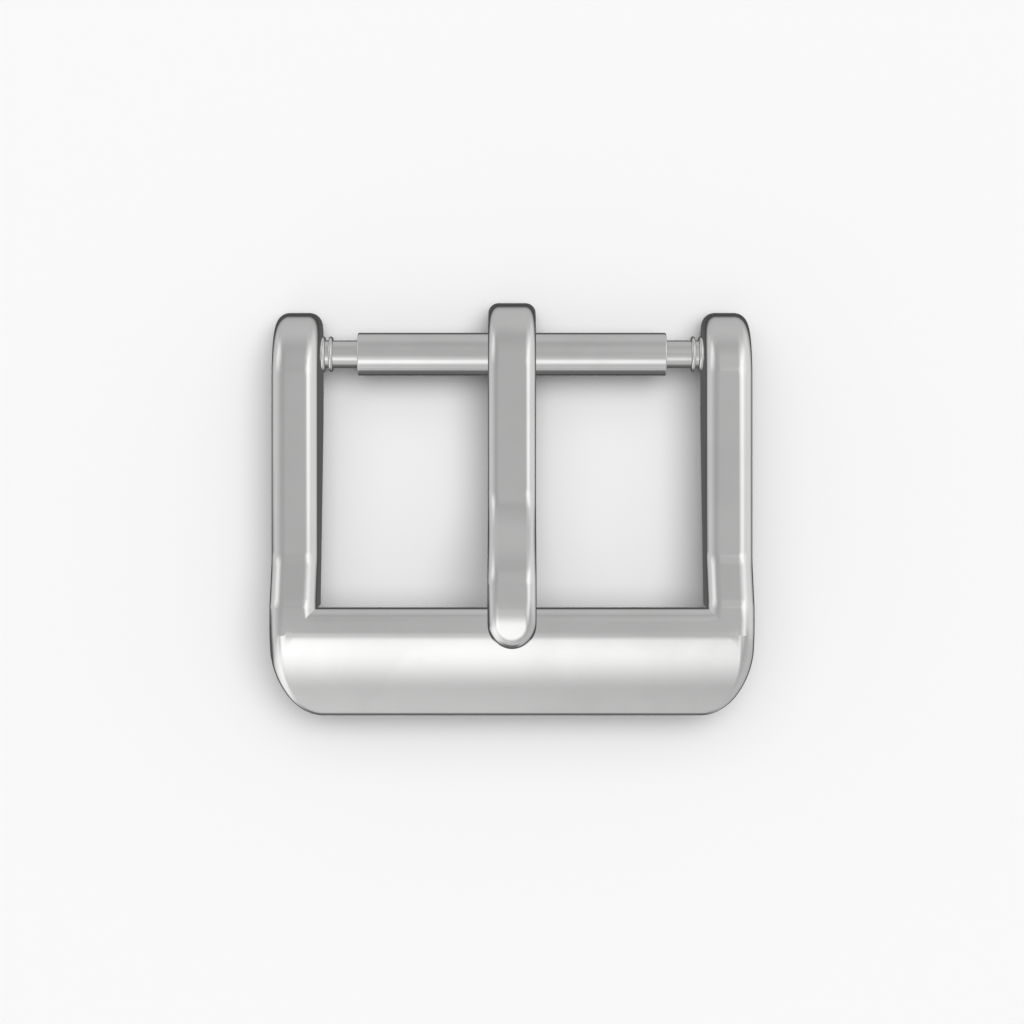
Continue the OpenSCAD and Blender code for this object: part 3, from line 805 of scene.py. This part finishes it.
# Angle from straight up in degrees, and the tent's brightness there
TENT = [(0, 0.52), (20, 0.555), (38, 0.53), (50, 0.49), (60, 0.49), (68, 0.525), (85, 0.575),
        (105, 0.56), (118, 0.535), (129, 0.43), (137, 0.11), (150, 0.09), (180, 0.11)]
STRAIGHT_DOWN = 180
# Keeps the division safe straight above and below
NOT_ZERO = 1e-9
# Direction round the table (0 right, 90 back), half width and border, then the four angles from straight
# up between which the patch comes in and goes out again, and the brightness that it adds
CARDS = {
    "front strip": (261, 16, 17, (24, 45, 46, 68), 0.62),
    "front wall": (248, 20, 14, (15, 20, 80, 87), 0.15),
    "front black card": (263, 8, 20, (98, 104, 124, 137), -0.37),
    "right strip": (353, 46, 29, (10, 32, 33, 57), 0.47),
    "right wall": (18, 15, 30, (34, 53, 107, 120), 0.21),
    "upper right box": (32, 21, 21, (11, 15, 51, 87), 0.26),
    "back right box": (54, 15, 16, (24, 42, 50, 90), 0.20),
    "back left box": (149, 11, 15, (35, 75, 76, 97), 0.32),
    "back left shade": (149, 35, 39, (0, 20, 31, 66), -0.10),
    "left wall": (189, 51, 4, (27, 61, 112, 119), 0.11),
    "left black card": (193, 11, 4, (90, 113, 126, 138), -0.40),
    "front left box": (231, 13, 14, (48, 66, 119, 128), 0.36),
}


def patch(tree, x, y, angle, turn, half_turn, border, angles):
    """1 inside a patch of sky and 0 outside, with soft borders"""
    turn, half_turn, border = (math.radians(v) for v in (turn, half_turn, border))
    facing = math_node(tree, "ADD", math_node(tree, "MULTIPLY", x, math.cos(turn)),
                       math_node(tree, "MULTIPLY", y, math.sin(turn)))
    sideways = soft_step(tree, facing, math.cos(half_turn + border), math.cos(half_turn - border))
    comes_in = soft_step(tree, angle, angles[0], angles[1])
    goes_out = soft_step(tree, angle, angles[3], angles[2])
    return math_node(tree, "MULTIPLY", sideways, math_node(tree, "MULTIPLY", comes_in, goes_out))


def soft_step(tree, value, start, end):
    step = add_node(tree, "ShaderNodeMapRange", interpolation_type="SMOOTHSTEP")
    low, high = sorted((start, end))
    step.inputs["From Min"].default_value = low
    step.inputs["From Max"].default_value = high
    step.inputs["To Min"].default_value = float(start > end)
    step.inputs["To Max"].default_value = float(start < end)
    tree.links.new(value, step.inputs["Value"])
    return step.outputs[0]


def build_world():
    """The tent as a ramp over the angle from straight up, with the boxes and cards added to it"""
    world = bpy.data.worlds.new("Studio")
    world.use_nodes = True
    bpy.context.scene.world = world
    tree = world.node_tree
    place = add_node(tree, "ShaderNodeTexCoord")
    parts = add_node(tree, "ShaderNodeSeparateXYZ")
    tree.links.new(place.outputs["Generated"], parts.inputs[0])
    x, y, z = parts.outputs
    angle = math_node(tree, "DEGREES", math_node(tree, "ARCCOSINE", z))
    flat = math_node(tree, "SQRT", math_node(tree, "ADD", math_node(tree, "MULTIPLY", x, x),
                                             math_node(tree, "MULTIPLY_ADD", y, y, NOT_ZERO)))
    round_x, round_y = math_node(tree, "DIVIDE", x, flat), math_node(tree, "DIVIDE", y, flat)
    tent = tree.nodes.new("ShaderNodeValToRGB")
    tent.color_ramp.interpolation = "CARDINAL"
    elements = tent.color_ramp.elements
    while len(elements) < len(TENT):
        elements.new(0.5)
    for element, (at, bright) in zip(elements, TENT):
        element.position = at / STRAIGHT_DOWN
        element.color = (*[bright] * 3, 1)
    tree.links.new(math_node(tree, "DIVIDE", angle, STRAIGHT_DOWN), tent.inputs["Fac"])
    total = tent.outputs["Color"]
    for turn, half_turn, border, angles, bright in CARDS.values():
        shape = patch(tree, round_x, round_y, angle, turn, half_turn, border, angles)
        total = math_node(tree, "MULTIPLY_ADD", shape, bright, total)
    background = tree.nodes["Background"]
    tree.links.new(total, background.inputs["Color"])
    # A matt surface gets its share. What is seen or mirrored gets all, and glints on the floor nothing
    ray = add_node(tree, "ShaderNodeLightPath")
    matt = ray.outputs["Is Diffuse Ray"]
    no_glint = math_node(tree, "LESS_THAN", ray.outputs["Diffuse Depth"], 0.5)
    mirrored = math_node(tree, "MULTIPLY", no_glint, math_node(tree, "SUBTRACT", 1, matt))
    strength = math_node(tree, "MULTIPLY_ADD", matt, MATT_SHARE, mirrored)
    tree.links.new(strength, background.inputs["Strength"])
    print("world of", len(CARDS), "boxes and cards")


build_world()

# %% Suns and floor
# Tilt from straight up, direction round the table and angle across, in degrees, and the strength
SUNS = {"key": (12, 40, 45, 1.55), "fill": (22, 100, 70, 0.75)}
FLOOR_GREY, FLOOR_SIZE = 0.93, 3

for name, (tilt, turn, wide, power) in SUNS.items():
    deselect_all()
    bpy.ops.object.light_add(type="SUN")
    sun = bpy.context.object
    sun.name = name
    sun.data.energy = power
    sun.data.angle = math.radians(wide)
    tilt, turn = math.radians(tilt), math.radians(turn)
    sun_from = Vector((math.sin(tilt) * math.cos(turn), math.sin(tilt) * math.sin(turn), math.cos(tilt)))
    sun.rotation_euler = sun_from.to_track_quat("Z", "Y").to_euler()
    sun.visible_glossy = False

deselect_all()
bpy.ops.mesh.primitive_plane_add(size=FLOOR_SIZE)
floor = bpy.context.object
floor.name = "floor"
floor_paint = bpy.data.materials.new("Floor paint")
floor_paint.use_nodes = True
paint = floor_paint.node_tree.nodes["Principled BSDF"]
paint.inputs["Base Color"].default_value = (*[FLOOR_GREY] * 3, 1)
paint.inputs["Roughness"].default_value = 1.0
paint.inputs["Specular IOR Level"].default_value = 0.0
dress(floor, floor_paint)

# %% [markdown]
# ## The camera
# The photograph looks straight down from close by: the front bar, which stands higher, shows a little
# wider than the arms. That gives the camera's height.

# %% Camera and view transform
CAMERA_X, CAMERA_Y, CAMERA_Z, LENS = 0.0, -0.17, 97.5, 80

camera_data = bpy.data.cameras.new("Camera")
camera_data.lens = LENS
camera_data.clip_start = MM
camera = bpy.data.objects.new("Camera", camera_data)
camera.location = Vector((CAMERA_X, CAMERA_Y, CAMERA_Z)) * MM
bpy.context.scene.collection.objects.link(camera)
bpy.context.scene.camera = camera
bpy.context.scene.view_settings.view_transform = "Standard"
